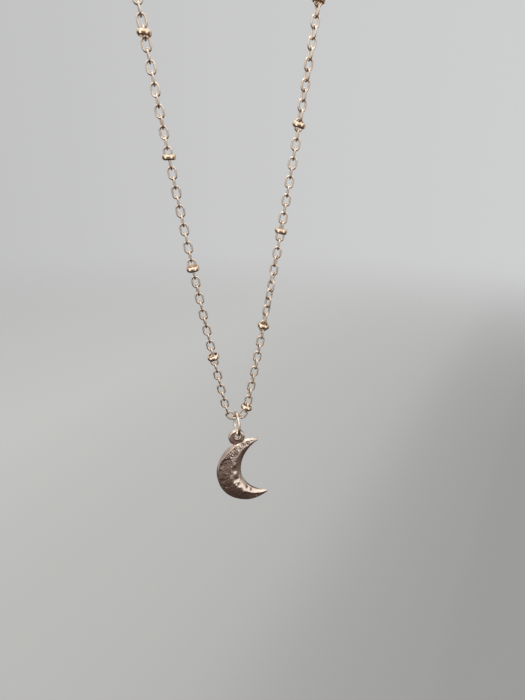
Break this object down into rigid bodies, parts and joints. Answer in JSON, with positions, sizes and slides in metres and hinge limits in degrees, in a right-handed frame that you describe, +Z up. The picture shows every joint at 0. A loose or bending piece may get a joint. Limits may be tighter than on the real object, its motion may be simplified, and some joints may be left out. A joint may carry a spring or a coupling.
{
  "type": "pendant necklace",
  "caption": "Rose-gold satellite chain necklace: oval cable links with spacer beads, lobster clasp, extension chain, and a domed hammered crescent pendant on a jump ring.",
  "frame": {"origin": "centre of the round form that the nape of the loop rests on", "axes": "+X to the wearer's left as seen from the front (right in a front view), -Y towards the front face of the pendant, +Z up; the closed loop hangs in the XZ plane"},
  "size_m": [0.0586, 0.0064, 0.2337],
  "materials": {
    "chain_metal": "rose-gold plated wire, polished",
    "bead_metal": "rose-gold plated, bright polish",
    "pendant_metal": "rose-gold plated casting, hammered satin",
    "spring_steel": "drawn steel wire"
  },
  "bodies": {
    "nape": {"left_nape_run": "chain_metal", "right_nape_run": "chain_metal", "clasp_jump_ring": "chain_metal", "end_ring": "chain_metal", "clasp_body": "chain_metal", "clasp_pin": "chain_metal", "clasp_spring": "spring_steel", "left_bead_8": "bead_metal", "left_bead_9": "bead_metal", "left_bead_10": "bead_metal", "right_bead_9": "bead_metal", "right_bead_10": "bead_metal", "right_bead_11": "bead_metal"},
    "level_8": {"left_run_8": "chain_metal", "right_run_8": "chain_metal", "left_bead_7": "bead_metal", "right_bead_8": "bead_metal"},
    "level_7": {"left_run_7": "chain_metal", "right_run_7": "chain_metal", "left_bead_6": "bead_metal", "right_bead_7": "bead_metal"},
    "level_6": {"left_run_6": "chain_metal", "right_run_6": "chain_metal", "left_bead_5": "bead_metal", "right_bead_6": "bead_metal"},
    "level_5": {"left_run_5": "chain_metal", "right_run_5": "chain_metal", "left_bead_4": "bead_metal", "right_bead_5": "bead_metal"},
    "level_4": {"left_run_4": "chain_metal", "right_run_4": "chain_metal", "left_bead_3": "bead_metal", "right_bead_4": "bead_metal"},
    "level_3": {"left_run_3": "chain_metal", "right_run_3": "chain_metal", "left_bead_2": "bead_metal", "right_bead_3": "bead_metal"},
    "level_2": {"left_run_2": "chain_metal", "right_run_2": "chain_metal", "left_bead_1": "bead_metal", "right_bead_2": "bead_metal"},
    "level_1": {"left_run_1": "chain_metal", "right_run_1": "chain_metal", "right_bead_1": "bead_metal"},
    "swivel": {"centre_link": "chain_metal", "pendant_jump_ring": "chain_metal"},
    "pendant": {"crescent_pendant": "pendant_metal"},
    "gate": {"clasp_gate": "chain_metal"},
    "tail_upper": {"extension_run_1": "chain_metal"},
    "tail_lower": {"extension_run_2": "chain_metal", "drop_ring": "chain_metal", "drop_ball": "bead_metal"}
  },
  "joints": [
    {"name": "strand_swing_8", "type": "hinge", "parent": "nape", "child": "level_8", "pos_m": [0, 0, -0.028], "axis": [1, 0, 0], "range_deg": [-30, 30]},
    {"name": "strand_swing_7", "type": "hinge", "parent": "level_8", "child": "level_7", "pos_m": [0, 0, -0.04767], "axis": [1, 0, 0], "range_deg": [-30, 30]},
    {"name": "strand_swing_6", "type": "hinge", "parent": "level_7", "child": "level_6", "pos_m": [0, 0, -0.0691], "axis": [1, 0, 0], "range_deg": [-30, 30]},
    {"name": "strand_swing_5", "type": "hinge", "parent": "level_6", "child": "level_5", "pos_m": [0, 0, -0.08873], "axis": [1, 0, 0], "range_deg": [-30, 30]},
    {"name": "strand_swing_4", "type": "hinge", "parent": "level_5", "child": "level_4", "pos_m": [0, 0, -0.1101], "axis": [1, 0, 0], "range_deg": [-30, 30]},
    {"name": "strand_swing_3", "type": "hinge", "parent": "level_4", "child": "level_3", "pos_m": [0, 0, -0.13143], "axis": [1, 0, 0], "range_deg": [-30, 30]},
    {"name": "strand_swing_2", "type": "hinge", "parent": "level_3", "child": "level_2", "pos_m": [0, 0, -0.15093], "axis": [1, 0, 0], "range_deg": [-30, 30]},
    {"name": "strand_swing_1", "type": "hinge", "parent": "level_2", "child": "level_1", "pos_m": [0, 0, -0.17038], "axis": [1, 0, 0], "range_deg": [-30, 30]},
    {"name": "ring_swing", "type": "hinge", "parent": "level_1", "child": "swivel", "pos_m": [0, 0, -0.18041], "axis": [1, 0, 0], "range_deg": [-30, 30]},
    {"name": "pendant_sway", "type": "hinge", "parent": "swivel", "child": "pendant", "pos_m": [0, 0, -0.18495], "axis": [0, 1, 0], "range_deg": [-50, 50]},
    {"name": "clasp_gate_pivot", "type": "hinge", "parent": "nape", "child": "gate", "pos_m": [-0.00037, 0, 0.02877], "axis": [0, 1, 0], "range_deg": [0, 16], "stiffness_Nm_per_rad": 0.0006, "springref_deg": -20.05},
    {"name": "tail_swing", "type": "hinge", "parent": "nape", "child": "tail_upper", "pos_m": [0.00738, 0.00141, 0.02717], "axis": [-0.7071, 0.7071, 0], "range_deg": [-25, 25]},
    {"name": "tail_sway", "type": "hinge", "parent": "tail_upper", "child": "tail_lower", "pos_m": [0.00738, 0.00141, 0.00673], "axis": [0.7071, 0.7071, 0], "range_deg": [-30, 30]}
  ]
}
